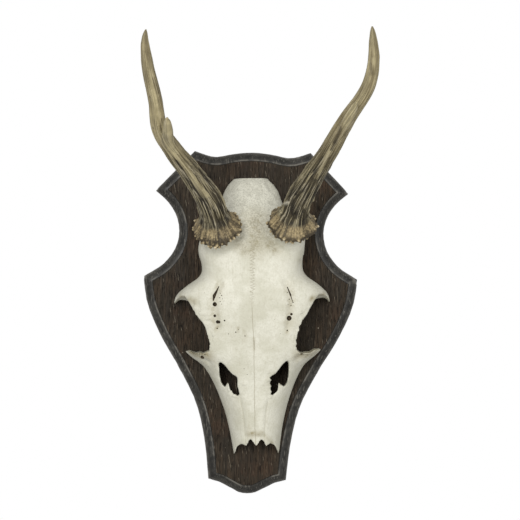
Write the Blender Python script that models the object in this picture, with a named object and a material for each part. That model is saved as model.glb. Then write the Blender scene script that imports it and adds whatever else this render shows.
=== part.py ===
"""Antler mounting plaque: a roe deer skull, sawn flat at the back, with both antlers, on an oak shield.

Metres, +Z up. The flat back of the shield lies in the plane y = 0 and everything stands out from it
towards -Y. The origin is the middle of that back, where the shield meets the wall.
"""

import math

import bmesh
import bpy
import numpy as np
from mathutils import Matrix, Vector

# Shield of oak with a moulded edge
BOARD_WIDTH = 0.129
BOARD_HEIGHT = 0.2058
BOARD_THICKNESS = 0.015
EDGE_BAND = 0.0055  # width of the moulding all round
EDGE_DROP = 0.0062  # how far the moulding falls from the field to the rim
QUIRK_DEPTH = 0.0012  # small upright step between the moulding and the field
QUIRK_WIDTH = 0.0003

# Skull, from the sawn crown to the tips of the upper jaw
SKULL_LENGTH = 0.165
BONE_WALL = 0.0030
CROWN_DROP = 0.0163  # from the top of the shield down to the crown's sawn edge
CROWN_OFFSET = -0.0005  # the skull sits this far to the side of the shield's middle
SKULL_TURN = math.radians(1.87)  # the skull hangs a little askew
PEDICLE_RADIUS = 0.0087

# Antlers, each measured along its beam from the burr to the tip
LEFT_ANTLER_LENGTH = 0.150
RIGHT_ANTLER_LENGTH = 0.152
BEAM_RADIUS = 0.0082
BURR_RADIUS = 0.0146
SKIRT_LENGTH = 0.013  # the burr flares out of the beam over this length
TINE_LENGTH = 0.031
TINE_RADIUS = 0.0037
BEADS = 14  # pearls round each burr, and furrows round each beam

GAP = 0.0003  # between pieces that touch

# The outlines and profiles below are read in these units, a millimetre each on this object
BOARD_UNIT_X = BOARD_WIDTH / 129
BOARD_UNIT_Z = BOARD_HEIGHT / 205.8
SKULL_UNIT = SKULL_LENGTH / 165
ANTLER_LENGTHS = {"left": LEFT_ANTLER_LENGTH, "right": RIGHT_ANTLER_LENGTH}
ANTLER_UNITS = {"left": LEFT_ANTLER_LENGTH / 150, "right": RIGHT_ANTLER_LENGTH / 152}


def smooth(places, values, at):
    """The values at new places on a smooth curve through the known ones."""
    places = np.asarray(places, float)
    values = np.asarray(values, float)
    at = np.asarray(at, float)
    slopes = np.gradient(values, places, axis=0)
    before = np.clip(np.searchsorted(places, at, side="right") - 1, 0, len(places) - 2)
    span = places[before + 1] - places[before]
    u = (at - places[before]) / span
    if values.ndim > 1:
        span, u = span[:, None], u[:, None]
    start = (1 + 2 * u) * (1 - u) ** 2 * values[before] + u * (1 - u) ** 2 * span * slopes[before]
    end = u * u * (3 - 2 * u) * values[before + 1] + u * u * (u - 1) * span * slopes[before + 1]
    return start + end


def profile(knots, at):
    """The smooth profile through (place, value) knots, read at the given places."""
    places, values = zip(*knots)
    return smooth(places, values, at)


def lengths_along(knots):
    """The distance from the first knot to each one, straight from knot to knot."""
    steps = np.linalg.norm(np.diff(knots, axis=0), axis=1)
    return np.concatenate(([0.0], np.cumsum(steps)))


def curve_through(knots, count, room=(0, 0)):
    """Evenly spread points of the smooth curve through the knots, with room left free next to each end."""
    knots = np.asarray(knots, float)
    lengths = lengths_along(knots)
    inner = np.linspace(room[0], lengths[-1] - room[1], count)
    places = np.unique(np.concatenate(([0.0], inner, [lengths[-1]])))
    return smooth(lengths, knots, places)


def collection(name):
    made = bpy.data.collections.new(name)
    bpy.context.scene.collection.children.link(made)
    return made


def material(name, colour, roughness):
    made = bpy.data.materials.new(name)
    made.use_nodes = True
    shader = made.node_tree.nodes["Principled BSDF"]
    shader.inputs["Base Color"].default_value = (*colour, 1)
    shader.inputs["Roughness"].default_value = roughness
    made.diffuse_color = (*colour, 1)
    return made


def object_from(name, shape, home, finish=None, parent=None):
    """A named object from a bmesh, in the collection given, with its material and parent."""
    bmesh.ops.recalc_face_normals(shape, faces=shape.faces)
    mesh = bpy.data.meshes.new(name)
    shape.to_mesh(mesh)
    shape.free()
    mesh.shade_smooth()
    mesh.set_sharp_from_angle(angle=math.radians(40))
    if finish:
        mesh.materials.append(finish)
    made = bpy.data.objects.new(name, mesh)
    made.parent = parent
    home.objects.link(made)
    return made


def loft(rings):
    """A closed solid through rings of equally many points, with flat ends."""
    shape = bmesh.new()
    loops = [[shape.verts.new(point) for point in ring] for ring in rings]
    for low, high in zip(loops, loops[1:]):
        for i, corner in enumerate(low):
            j = (i + 1) % len(low)
            shape.faces.new((corner, low[j], high[j], high[i]))
    shape.faces.new(loops[0])
    shape.faces.new(loops[-1])
    return shape


def add_cutter(name, shape, home, parent):
    cutter = object_from(name, shape, home, parent=parent)
    cutter.hide_render = True
    cutter.display_type = "WIRE"
    return cutter


def boolean(piece, other, operation):
    step = piece.modifiers.new(f"{operation.lower()} {other.name}", "BOOLEAN")
    step.object = other
    step.operation = operation
    step.solver = "EXACT"


# Shield


CREST = ((0, 102.4), (5, 102.2), (11, 101.5), (23, 99.5), (34.9, 102.8))
BAY = ((58.2, 78.7), (50.5, 71.8), (45.6, 64.2), (43.5, 54.5), (45.7, 44), (52, 35.2), (64.5, 26.9))
SIDE = (
    (64.5, 26.9), (62.6, 13), (54.7, -6.5), (41.6, -29), (31.4, -49.4), (25.7, -73.4), (23.4, -94.6),
)
FOOT = ((23.4, -94.6), (16.5, -96.5), (10, -99.8), (4, -102.6), (0, -103))
ROUND_STEPS = 4  # flats that make up the quarter round of the moulding


def board_half_outline():
    """The right half of the shield's outline, from the top of the crest to the bottom, sideways and up."""
    # The moulding turns each corner by a mitre, so no other point lies within the mitre's reach of it
    room = 1.25 * EDGE_BAND / min(BOARD_UNIT_X, BOARD_UNIT_Z)
    crest = curve_through(CREST, 9, (0, room))
    bay = curve_through(BAY, 15, (room, room))
    side = curve_through(SIDE, 17, (room, room))
    foot = curve_through(FOOT, 8, (room, 0))
    return np.concatenate((crest, bay, side[1:], foot[1:]))


def make_board(home):
    half = board_half_outline() * (BOARD_UNIT_X, BOARD_UNIT_Z)
    mirrored = (half[1:-1] * (-1, 1))[::-1]
    outline = np.concatenate((half, mirrored))
    shape = bmesh.new()
    back = shape.faces.new([shape.verts.new((x, 0, z)) for x, z in outline])
    rim_height = BOARD_THICKNESS - EDGE_DROP
    grown = bmesh.ops.extrude_face_region(shape, geom=[back])
    front_points = [item for item in grown["geom"] if isinstance(item, bmesh.types.BMVert)]
    bmesh.ops.translate(shape, verts=front_points, vec=(0, -rim_height, 0))
    front = next(item for item in grown["geom"] if isinstance(item, bmesh.types.BMFace))
    bmesh.ops.recalc_face_normals(shape, faces=shape.faces)
    # The moulding is a quarter round that rises from the rim, then a small quirk up to the field
    quarter = math.pi / 2
    turns = [quarter * step / ROUND_STEPS for step in range(ROUND_STEPS + 1)]
    round_width = EDGE_BAND - QUIRK_WIDTH
    round_rise = EDGE_DROP - QUIRK_DEPTH
    for start, end in zip(turns, turns[1:]):
        width = round_width * (math.cos(start) - math.cos(end))
        rise = round_rise * (math.sin(end) - math.sin(start))
        bmesh.ops.inset_region(shape, faces=[front], thickness=width, use_even_offset=True)
        bmesh.ops.translate(shape, verts=front.verts, vec=(0, -rise, 0))
    bmesh.ops.inset_region(shape, faces=[front], thickness=QUIRK_WIDTH, use_even_offset=True)
    bmesh.ops.translate(shape, verts=front.verts, vec=(0, -QUIRK_DEPTH, 0))
    oak = material("dark oak", (0.045, 0.030, 0.022), 0.55)
    return object_from("board", shape, home, oak)


# Skull: its own frame has x sideways, -z down from the crown and -y out from the saw cut

HALF_WIDTHS = (
    (0, 10.2), (5, 14.8), (12, 17.6), (18, 19.8), (25, 24), (36, 30), (44, 31.4), (53, 29.8),
    (58, 31.2), (64, 40), (70, 45.6), (75, 46.8), (80, 46.6), (90, 44), (102.5, 41.1), (106, 37.6),
    (111, 31), (119, 26), (131.5, 20.8), (146, 16.7), (165, 13.6),
)
RIDGE_HEIGHTS = (
    (0, 7), (4.3, 13), (13, 22), (25, 31), (37, 37), (49, 40), (72, 40.5), (102, 34), (132, 26),
    (165, 17.5),
)
SQUARENESS = (
    (0, 2.6), (12, 2.4), (30, 3.0), (45, 4.2), (60, 3.8), (75, 3.0), (100, 3.0), (112, 2.6),
    (130, 2.2), (165, 2.2),
)
CAVITY_HALF_WIDTHS = (
    (9, 8), (16, 14), (28, 21), (42, 25.5), (52, 24), (62, 19), (70, 16.5), (98, 16.5), (107, 22),
    (113, 24), (121, 21), (132, 17.5), (146, 13.6), (170, 10.5),
)
CUT_CLEARANCE = 3  # how far the cutters reach past the saw cut
# Where the midline runs, as a grown skull is never quite straight
SWAY = ((0, -0.3), (20, -0.4), (40, -1.2), (55, -0.2), (72, -0.8), (103, -0.4), (120, -0.1), (165, 0.5))


def spot(x, out, down):
    """A point of the skull in metres: sideways from its midline, out from the cut, down from the crown."""
    middle = float(profile(SWAY, [min(max(down, 0), SWAY[-1][0])])[0])
    return Vector((x + middle, -out, -down)) * SKULL_UNIT


def arch(half_width, height, squareness, down, count, foot=0.0):
    """One section of the skull: a rounded arch that stands on the saw cut, or starts at foot below it."""
    ring = []
    for step in range(count):
        turn = math.pi * step / (count - 1)
        across, up = math.cos(turn), math.sin(turn)
        x = half_width * math.copysign(abs(across) ** (2 / squareness), across)
        out = height * abs(up) ** (2 / squareness)
        ring.append((x, out))
    if foot:
        ring = [(ring[0][0], -foot)] + ring + [(ring[-1][0], -foot)]
    return [spot(x, out, down) for x, out in ring]


def skull_shell():
    # A section every few units down the skull, closest together at the eyes
    downs = np.concatenate((np.linspace(0, 54, 14), np.linspace(57, 112, 21), np.linspace(117, 165, 10)))
    sections = zip(
        downs, profile(HALF_WIDTHS, downs), profile(RIDGE_HEIGHTS, downs), profile(SQUARENESS, downs)
    )
    return loft([arch(width, height, square, down, 25) for down, width, height, square in sections])


def skull_cavity():
    """The space of the brain and the nose, open at the saw cut and at the nose."""
    wall = BONE_WALL / SKULL_UNIT
    downs = np.linspace(CAVITY_HALF_WIDTHS[0][0], CAVITY_HALF_WIDTHS[-1][0], 22)
    nose = RIDGE_HEIGHTS[-1][0]
    heights = profile(RIDGE_HEIGHTS, np.minimum(downs, nose)) - wall
    widths = profile(CAVITY_HALF_WIDTHS, downs)
    squares = profile(SQUARENESS, np.minimum(downs, nose))
    rings = []
    for down, width, height, square in zip(downs, widths, heights, squares):
        rings.append(arch(width, height, square, down, 17, foot=CUT_CLEARANCE))
    return loft(rings)


ORBIT_EDGE = (
    (46.9, 78.6), (46.5, 73.0), (44.4, 68.8), (40.8, 69.4), (36.8, 74.2), (32.0, 82.2), (28.6, 86.6),
    (27.2, 92), (26.4, 98), (28, 102.4),
)
ORBIT_AXIS = 46.5  # the eye's opening widens from here towards the midline, under the brow
ORBIT_FLOOR = 102.4
ORBIT_TOP = 79
ORBIT_SIDE = max(width for down, width in HALF_WIDTHS) + 5 * CUT_CLEARANCE  # clear of the skull's side
# Out from the saw cut, widening towards the midline, share of the opening's height
ORBIT_LEVELS = (
    (-CUT_CLEARANCE, 1.36, 0.90), (12, 1.36, 0.91), (21, 1.33, 0.95), (27, 1.20, 0.99), (33, 1.02, 1),
    (46, 1, 1),
)


def orbit(side):
    """The opening of one eye, lofted outwards from the saw cut, wider inside than at the brow."""
    edge = list(curve_through(ORBIT_EDGE, 22)) + [(ORBIT_SIDE, ORBIT_FLOOR), (ORBIT_SIDE, ORBIT_TOP)]
    rings = []
    for out, widening, height in ORBIT_LEVELS:
        ring = []
        for x, down in edge:
            x = ORBIT_AXIS + (x - ORBIT_AXIS) * (widening if x < ORBIT_AXIS else 1)
            down = ORBIT_FLOOR - (ORBIT_FLOOR - down) * height
            ring.append(spot(side * x, out, down))
        rings.append(ring)
    return loft(rings)


TEMPLE_PLACE = (42, 2, 58)  # sideways, out from the saw cut, down from the crown
TEMPLE_SIZE = (13, 17, 11)


def temple(side):
    """The hollow behind the bar that closes the eye at the back."""
    shape = bmesh.new()
    bmesh.ops.create_uvsphere(shape, u_segments=16, v_segments=10, radius=1)
    across, out, down = TEMPLE_PLACE
    bmesh.ops.scale(shape, vec=Vector(TEMPLE_SIZE) * SKULL_UNIT, verts=shape.verts)
    bmesh.ops.translate(shape, vec=spot(side * across, out, down), verts=shape.verts)
    return shape


VACUITY_EDGE = (
    (20.7, 107.2), (16.8, 111.0), (12.6, 116.4), (9.6, 117.6), (10.2, 122.4), (8.4, 130.2),
    (13.4, 126.8), (15.2, 122.0), (17.6, 124.6), (19.8, 120.6), (20.4, 114.6),
)


VACUITY_LEVELS = (10, 45)  # out from the saw cut, from inside the nose to clear of its ridge


def vacuity(side):
    """The gap that a roe skull has before the eye, between the bones of nose, brow and cheek."""
    return loft([[spot(side * x, out, down) for x, down in VACUITY_EDGE] for out in VACUITY_LEVELS])


NOSE_EDGE = (
    (0, 159.6), (3.5, 153.9), (5.8, 159.2), (8.6, 157.8), (11.2, 159.6), (13.2, 165.2), (13.6, 170),
)
NOSE_LEVELS = (-CUT_CLEARANCE, 30)


def nose_end():
    """What lies past the ragged front ends of the nose bones, between the tips of the upper jaw."""
    edge = [(-x, down) for x, down in reversed(NOSE_EDGE[1:])] + list(NOSE_EDGE)
    return loft([[spot(x, out, down) for x, down in edge] for out in NOSE_LEVELS])


# Antlers: each stands on its pedicle, and its path is out, up and forward of the pedicle's end

OUTWARD = {"left": -1, "right": 1}
PEDICLE_ENDS = {"left": (-20.1, 31.2, 40.0), "right": (23.1, 29.8, 40.0)}
PEDICLE_LEAN = 0.165  # out to the side, for each unit of length
PEDICLE_BURIED = 20 * SKULL_UNIT

LEFT_PATH = (
    (0, 0, 0), (4.9, 18.4, 18.9), (13.5, 31.8, 33.6), (23.4, 45.0, 48.1), (30.4, 56.4, 58.9),
    (32.3, 72.0, 69.8), (36.1, 93.2, 82.8), (36.7, 105.9, 89.0), (36.1, 109.6, 90.4),
)
RIGHT_PATH = (
    (0, 0, 0), (4.6, 15.7, 16.3), (10.9, 26.2, 27.5), (21.6, 42.4, 44.7), (30.9, 58.4, 59.8),
    (43.8, 79.4, 76.8), (45.6, 90.0, 83.1), (45.2, 100.5, 88.5), (44.7, 107.9, 91.5),
)
LEFT_TINE = (-0.02, 0.41, 0.91)
RIGHT_TINE = (0.26, 0.45, 0.85)
TINE_PLACES = {"left": 0.51, "right": 0.54}  # share of the beam's length where the front tine leaves it
TINE_SAG = 0.05  # the tine dips by this share of its length before it turns up
TINE_TAPER = (1.15, 1.12, 1.04, 0.95, 0.87, 0.79, 0.70, 0.54, 0.20)  # shares of TINE_RADIUS
TINE_SIDES = 12

# Beam radius as a share of BEAM_RADIUS, by share of the length
BEAM_TAPER = (
    (0, 1.0), (0.18, 0.91), (0.27, 0.76), (0.40, 0.68), (0.56, 0.60), (0.68, 0.50), (0.80, 0.45),
    (0.88, 0.40), (0.94, 0.30), (0.98, 0.18), (1, 0.05),
)
# Burr radius as a share of BURR_RADIUS, by share of the skirt's length
BURR_FLARE = ((0, 0.84), (0.10, 0.99), (0.26, 0.99), (0.46, 0.82), (0.70, 0.66), (1, 0.56))
BEAD_HEIGHT = 0.05  # shares of the radius
FURROW_DEPTH = 0.05


def pedicle_end(side):
    return Vector((PEDICLE_ENDS[side][0], -PEDICLE_ENDS[side][2], -PEDICLE_ENDS[side][1])) * SKULL_UNIT


def pedicle_axis(side):
    return Vector((OUTWARD[side] * PEDICLE_LEAN, -1, 1)).normalized()


def pedicle(side):
    """The bone stub that carries one antler, from inside the skull to just under the burr."""
    shape = bmesh.new()
    bmesh.ops.create_cone(
        shape, cap_ends=True, segments=20, radius1=PEDICLE_RADIUS * 1.15, radius2=PEDICLE_RADIUS,
        depth=PEDICLE_BURIED,
    )
    axis = pedicle_axis(side)
    turn = axis.to_track_quat("Z", "Y").to_matrix().to_4x4()
    middle = pedicle_end(side) - axis * (GAP + PEDICLE_BURIED / 2)
    bmesh.ops.transform(shape, matrix=Matrix.Translation(middle) @ turn, verts=shape.verts)
    return shape


def rings_along(points, radii, count, depths):
    """Rings of count points square to a path, every other point raised and the rest sunk by its depth."""
    rings = []
    across = Vector((1, 0, 0))
    for i, point in enumerate(points):
        ahead = Vector(points[min(i + 1, len(points) - 1)] - points[max(i - 1, 0)]).normalized()
        across = (across - ahead * across.dot(ahead)).normalized()
        over = ahead.cross(across)
        ring = []
        for step in range(count):
            turn = 2 * math.pi * step / count
            radius = radii[i] * (1 + depths[i] * (1 if step % 2 else -1))
            ring.append(Vector(point) + (across * math.cos(turn) + over * math.sin(turn)) * radius)
        rings.append(ring)
    return rings


def antler_points(side, shares):
    """Points of one antler's middle line in metres, from the pedicle's end, at shares of its length."""
    knots = LEFT_PATH if side == "left" else RIGHT_PATH
    sign = OUTWARD[side]
    path = np.array([(sign * out, -forward, up) for out, up, forward in knots]) * ANTLER_UNITS[side]
    lengths = lengths_along(path)
    return smooth(lengths / lengths[-1], path, shares)


def antler_beam(side):
    length = ANTLER_LENGTHS[side]
    skirt = [place * SKIRT_LENGTH / length for place, flare in BURR_FLARE]
    shares = np.concatenate((skirt, np.linspace(skirt[-1], 0.94, 17)[1:], (0.97, 0.99, 1.0)))
    points = antler_points(side, shares)
    # The burr's rings lie square to the pedicle, so that it sits flat on it
    axis = np.array(pedicle_axis(side))
    points[: len(skirt)] = np.outer(shares[: len(skirt)] * length, axis)
    radii = profile(BEAM_TAPER, shares) * BEAM_RADIUS
    flares = np.array([flare for place, flare in BURR_FLARE]) * BURR_RADIUS
    radii[: len(skirt)] = np.maximum(flares, radii[: len(skirt)])
    depths = FURROW_DEPTH * np.clip(1.25 - 1.3 * shares, 0, 1)
    depths[1:3] = BEAD_HEIGHT
    depths[-2:] = 0
    return loft(rings_along(points, radii, 2 * BEADS, depths))


def antler_tine(side):
    """The short front tine, which leaves the beam forwards and turns up."""
    inside, root = antler_points(side, (TINE_PLACES[side] - 0.05, TINE_PLACES[side]))
    out, up, forward = LEFT_TINE if side == "left" else RIGHT_TINE
    reach = np.array((OUTWARD[side] * out, -forward, up)) * TINE_LENGTH
    sag = np.array((0, 0, TINE_SAG)) * TINE_LENGTH
    points = curve_through([inside, root + reach * 0.12 - sag, root + reach * 0.55 - sag, root + reach], 9)
    return loft(rings_along(points, TINE_RADIUS * np.array(TINE_TAPER), TINE_SIDES, np.zeros(len(points))))


def make_skull(home, cutters, seat):
    bone = material("bone", (0.72, 0.69, 0.60), 0.5)
    skull = object_from("skull", skull_shell(), home, bone, seat)
    for side in ("left", "right"):
        boolean(skull, add_cutter(f"{side} pedicle", pedicle(side), cutters, seat), "UNION")
    boolean(skull, add_cutter("cavity", skull_cavity(), cutters, seat), "DIFFERENCE")
    for side, sign in (("left", -1), ("right", 1)):
        boolean(skull, add_cutter(f"{side} orbit", orbit(sign), cutters, seat), "DIFFERENCE")
        boolean(skull, add_cutter(f"{side} temple", temple(sign), cutters, seat), "DIFFERENCE")
        boolean(skull, add_cutter(f"{side} vacuity", vacuity(sign), cutters, seat), "DIFFERENCE")
    boolean(skull, add_cutter("nose end", nose_end(), cutters, seat), "DIFFERENCE")
    return skull


def make_antler(side, home, cutters, seat):
    horn = material(f"{side} antler", (0.20, 0.15, 0.10), 0.6)
    antler = object_from(f"antler_{side}", antler_beam(side), home, horn, seat)
    antler.location = pedicle_end(side)
    tine = add_cutter(f"{side} tine", antler_tine(side), cutters, seat)
    tine.location = antler.location
    boolean(antler, tine, "UNION")
    return antler


def main():
    for old in list(bpy.data.objects):
        bpy.data.objects.remove(old)
    home = collection("antler mounting plaque")
    cutters = collection("cutters")
    make_board(home)
    seat = bpy.data.objects.new("skull seat", None)
    seat.location = (CROWN_OFFSET, -(BOARD_THICKNESS + GAP), BOARD_HEIGHT / 2 - CROWN_DROP)
    seat.rotation_euler = (0, -SKULL_TURN, 0)
    home.objects.link(seat)
    make_skull(home, cutters, seat)
    for side in ("left", "right"):
        make_antler(side, home, cutters, seat)


main()
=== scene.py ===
# %% [markdown]
# A hunting trophy: the skull of a roe buck with its antlers, on an oak shield with a blackened moulding.
# The solids of the four pieces are already there, at their real size, and this lesson dresses them. Each
# solid is copied, its skin is made fine, and the copy is shaped further where the real thing has more
# relief than the plain solid: pearls and furrows on the antlers, seams and small holes in the bone, knocks
# on the board's edge. The first cell loads the solids and keeps the box that all of them fill.

# %% Load the solids
import math

import bmesh
import bpy
import numpy as np
from mathutils import Matrix, Vector, noise
from mathutils.bvhtree import BVHTree


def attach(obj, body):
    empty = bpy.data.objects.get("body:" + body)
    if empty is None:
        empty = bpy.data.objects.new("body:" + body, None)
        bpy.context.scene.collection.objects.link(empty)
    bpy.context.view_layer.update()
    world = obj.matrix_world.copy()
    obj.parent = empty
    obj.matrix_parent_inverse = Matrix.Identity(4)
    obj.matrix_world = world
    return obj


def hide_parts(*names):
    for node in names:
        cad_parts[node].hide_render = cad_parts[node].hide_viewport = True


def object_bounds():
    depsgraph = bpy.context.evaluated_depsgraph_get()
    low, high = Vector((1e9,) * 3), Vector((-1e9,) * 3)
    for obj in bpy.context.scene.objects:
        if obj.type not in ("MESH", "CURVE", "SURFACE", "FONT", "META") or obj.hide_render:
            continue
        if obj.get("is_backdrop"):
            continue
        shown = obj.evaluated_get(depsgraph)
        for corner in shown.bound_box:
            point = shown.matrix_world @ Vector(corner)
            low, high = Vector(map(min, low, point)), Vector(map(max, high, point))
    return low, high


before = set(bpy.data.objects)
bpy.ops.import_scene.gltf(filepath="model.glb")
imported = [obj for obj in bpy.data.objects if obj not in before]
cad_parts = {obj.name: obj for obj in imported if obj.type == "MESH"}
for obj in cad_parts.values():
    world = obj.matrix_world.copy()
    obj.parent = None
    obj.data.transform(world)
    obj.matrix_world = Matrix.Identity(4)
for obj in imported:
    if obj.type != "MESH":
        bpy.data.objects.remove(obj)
cad_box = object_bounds()
MM = 0.001
print("solids:", sorted(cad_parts))

# %% [markdown]
# The picture is taken from straight in front with a long lens, 1.5 metres away, and the camera is tilted by
# a degree, so that the board hangs as slightly askew as in the photograph. The lens is worked out from the
# size of one pixel at the wall, because the whole picture is 520 pixels wide.

# %% Camera
PICTURE = 520
PIXEL = 0.6 * MM  # what one pixel covers at the plane of the wall
DISTANCE = 1500 * MM
SENSOR = 36
THICKNESS = 15 * MM  # of the board
EYE = Vector((5.5 * MM, -THICKNESS - DISTANCE, 37.75 * MM))
TILT = math.radians(1.0)

bpy.ops.object.camera_add()
camera = bpy.context.object
camera.name = "camera"
camera.data.sensor_width = SENSOR
camera.data.lens = SENSOR * DISTANCE / (PIXEL * PICTURE)
camera.data.clip_end = 100
upright = Matrix.Rotation(math.pi / 2, 4, "X")
camera.matrix_world = Matrix.Translation(EYE) @ upright @ Matrix.Rotation(TILT, 4, "Z")
bpy.context.scene.camera = camera


def sight(x, y):
    """The direction in which the camera sees a pixel of the picture."""
    across = (x - PICTURE / 2) * PIXEL
    up = (PICTURE / 2 - y) * PIXEL
    return (camera.matrix_world.to_3x3() @ Vector((across, up, -DISTANCE))).normalized()


print("lens of", round(camera.data.lens), "mm")

# %% [markdown]
# The light is that of a plain photo studio: a soft box at the left of the camera, a larger and weaker one at
# its right, and pale walls all round, for which the world stands. The camera itself sees the world as clean
# white. The floor lies far below, because the plaque hangs on a wall and nothing stands under it.

# %% Studio
AMBIENT = 0.55
KEY_POWER = 27
FILL_POWER = 14


def soft_box(name, place, size, power):
    bpy.ops.object.light_add(type="AREA", location=place)
    lamp = bpy.context.object
    lamp.name = name
    lamp.data.size = size
    lamp.data.energy = power
    lamp.rotation_euler = (-Vector(place)).to_track_quat("-Z", "Y").to_euler()


soft_box("key light", (-0.50, -2.1, 0.40), 0.9, KEY_POWER)
soft_box("fill light", (1.0, -2.0, 0.30), 1.4, FILL_POWER)

world = bpy.data.worlds.new("studio")
world.use_nodes = True
bpy.context.scene.world = world
sky = world.node_tree.nodes["Background"]
to_camera = world.node_tree.nodes.new("ShaderNodeLightPath")
strength = world.node_tree.nodes.new("ShaderNodeMix")
strength.inputs[2].default_value = AMBIENT
strength.inputs[3].default_value = 1.0
world.node_tree.links.new(to_camera.outputs["Is Camera Ray"], strength.inputs[0])
world.node_tree.links.new(strength.outputs[0], sky.inputs["Strength"])
sky.inputs["Color"].default_value = (1, 1, 1, 1)
bpy.context.scene.view_settings.view_transform = "Standard"

bpy.ops.mesh.primitive_plane_add(size=10, location=(0, 0, -2.2))
floor = bpy.context.object
floor.name = "floor"
floor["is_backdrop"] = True

# %% [markdown]
# Materials are networks of nodes, and the same few steps come back in each: add a node with its settings,
# do a sum, spread a value over a range, and mix two colours. Small helpers keep those networks readable.

# %% Helpers for nodes


def feed(tree, socket, value):
    """Joins an output to a socket, or sets the socket to a value. A colour is three numbers."""
    if isinstance(value, bpy.types.NodeSocket):
        tree.links.new(value, socket)
    else:
        socket.default_value = (*value, 1) if socket.type == "RGBA" else value


def add(tree, kind, inputs=None, **settings):
    """A node with its settings and its inputs."""
    made = tree.nodes.new("ShaderNode" + kind)
    for name, value in settings.items():
        setattr(made, name, value)
    for name, value in (inputs or {}).items():
        feed(tree, made.inputs[name], value)
    return made


def sums(tree, operation, *values):
    return add(tree, "Math", dict(enumerate(values)), operation=operation).outputs[0]


def times(tree, first, second):
    return sums(tree, "MULTIPLY", first, second)


def spread(tree, value, low, high, to_low=0.0, to_high=1.0):
    """The value carried smoothly from one range to another, and held at its ends."""
    inputs = {"Value": value, "From Min": low, "From Max": high, "To Min": to_low, "To Max": to_high}
    return add(tree, "MapRange", inputs, interpolation_type="SMOOTHSTEP").outputs[0]


def blend(tree, mask, first, second):
    """Two colours mixed by a mask."""
    made = add(tree, "Mix", data_type="RGBA")
    for index, value in ((0, mask), (6, first), (7, second)):  # of its sockets, those that mix colours
        feed(tree, made.inputs[index], value)
    return made.outputs[2]


def coats(tree, colour, layers):
    """Colours laid one over another. A layer is the mask of where it lies, its strength and its colour."""
    for mask, amount, over in layers:
        colour = blend(tree, times(tree, mask, amount), colour, over)
    return colour


def group(name, inputs):
    """An empty node group with named inputs and one mask as its output, and its two end nodes."""
    tree = bpy.data.node_groups.new(name, "ShaderNodeTree")
    tree.interface.new_socket("Place", in_out="INPUT", socket_type="NodeSocketVector")
    for label, value in inputs.items():
        socket = tree.interface.new_socket(label, in_out="INPUT", socket_type="NodeSocketFloat")
        socket.default_value = value
    tree.interface.new_socket("Mask", in_out="OUTPUT", socket_type="NodeSocketFloat")
    return tree, tree.nodes.new("NodeGroupInput").outputs, tree.nodes.new("NodeGroupOutput").inputs["Mask"]


def use(tree, effect, place, **inputs):
    """The mask of a node group, placed in a material with its own values."""
    made = tree.nodes.new("ShaderNodeGroup")
    made.node_tree = effect
    tree.links.new(place, made.inputs["Place"])
    for name, value in inputs.items():
        feed(tree, made.inputs[name], value)
    return made.outputs["Mask"]


def new_material(name, specular):
    made = bpy.data.materials.new(name)
    made.use_nodes = True
    shader = made.node_tree.nodes["Principled BSDF"]
    shader.inputs["Specular IOR Level"].default_value = specular
    return made, made.node_tree, shader, add(made.node_tree, "TexCoord").outputs["Object"]


def finish_material(tree, shader, colour, rough, height, depth):
    """Joins the colour, the roughness and a fine bump of the height given, in millimetres, to the shader."""
    tree.links.new(colour, shader.inputs["Base Color"])
    tree.links.new(rough, shader.inputs["Roughness"])
    bump = add(tree, "Bump", {"Height": height, "Strength": 0.6, "Distance": depth * MM})
    tree.links.new(bump.outputs[0], shader.inputs["Normal"])


# %% [markdown]
# Four effects are shared by bone, antler and wood. Fibres are long thin streaks: a noise pattern that is
# squeezed along one axis. Mottling is soft clouding at two sizes. Pits are small round dots at random
# places, from the cells of a Voronoi pattern. A seam is a thin line, drawn where a distance that was stored
# on the mesh passes through zero. It wanders by noise, and a sawn wave makes it zigzag like a real suture.

# %% Shared effects
FIBRES, given, result = group("fibres", {"Width": 1.0, "Length": 20.0, "Low": 0.4, "High": 0.6})
across = sums(FIBRES, "DIVIDE", 1000.0, given["Width"])
along = sums(FIBRES, "DIVIDE", 1000.0, given["Length"])
stretch = add(FIBRES, "CombineXYZ", {"X": across, "Y": across, "Z": along})
squeezed = add(FIBRES, "VectorMath", {0: given["Place"], 1: stretch.outputs[0]}, operation="MULTIPLY")
streaks = add(FIBRES, "TexNoise", {"Vector": squeezed.outputs[0], "Scale": 1.0, "Detail": 3.0, "Distortion": 0.2})
FIBRES.links.new(spread(FIBRES, streaks.outputs[0], given["Low"], given["High"]), result)

MOTTLE, given, result = group("mottling", {"Size": 10.0, "Low": 0.35, "High": 0.65})
scale = sums(MOTTLE, "DIVIDE", 1000.0, given["Size"])
clouds = add(MOTTLE, "TexNoise", {"Vector": given["Place"], "Scale": scale, "Detail": 4.0, "Roughness": 0.6})
MOTTLE.links.new(spread(MOTTLE, clouds.outputs[0], given["Low"], given["High"]), result)

PITS, given, result = group("pits", {"Spacing": 2.0, "Radius": 0.2, "Share": 0.5})
scale = sums(PITS, "DIVIDE", 1000.0, given["Spacing"])
cells = add(PITS, "TexVoronoi", {"Vector": given["Place"], "Scale": scale, "Randomness": 1.0})
dot = spread(PITS, cells.outputs["Distance"], times(PITS, given["Radius"], 0.5), given["Radius"], 1.0, 0.0)
chance = add(PITS, "SeparateXYZ", {0: cells.outputs["Color"]}).outputs[0]
PITS.links.new(times(PITS, dot, sums(PITS, "LESS_THAN", chance, given["Share"])), result)

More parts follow.
